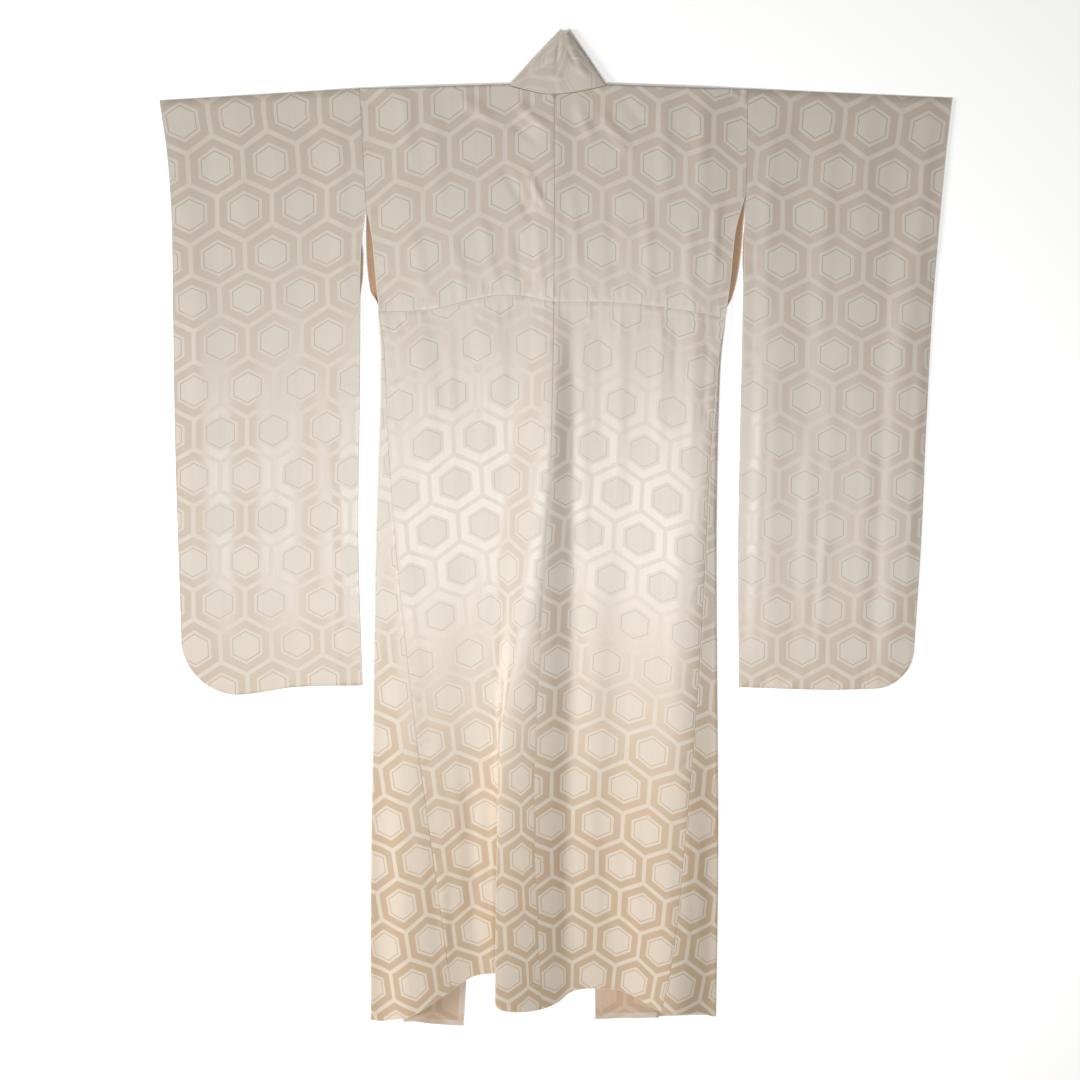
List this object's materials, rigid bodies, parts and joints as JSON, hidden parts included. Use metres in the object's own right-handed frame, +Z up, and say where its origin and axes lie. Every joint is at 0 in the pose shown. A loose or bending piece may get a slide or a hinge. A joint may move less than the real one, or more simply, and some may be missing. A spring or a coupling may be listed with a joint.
{
  "type": "kakeshita kimono",
  "caption": "Long-sleeved bridal kimono of ivory figured silk, laid flat on its front, back side up, with the sleeves spread and the fronts hanging open.",
  "frame": {"origin": "middle of the bounding box on the surface that the garment lies on", "axes": "+X to the right of a viewer who looks down on the back with the collar at the top, +Y towards the collar, +Z up from the surface"},
  "size_m": [1.2966, 1.7829, 0.0466],
  "materials": {
    "figured_silk": "silk damask, soft sheen",
    "collar_silk": "silk damask, soft sheen"
  },
  "bodies": {
    "root": {"body_left": "figured_silk", "body_right": "figured_silk", "overlap_left": "figured_silk", "overlap_right": "figured_silk", "sleeve_left": "figured_silk", "sleeve_right": "figured_silk", "collar": "collar_silk", "over_collar": "collar_silk"}
  },
  "joints": []
}
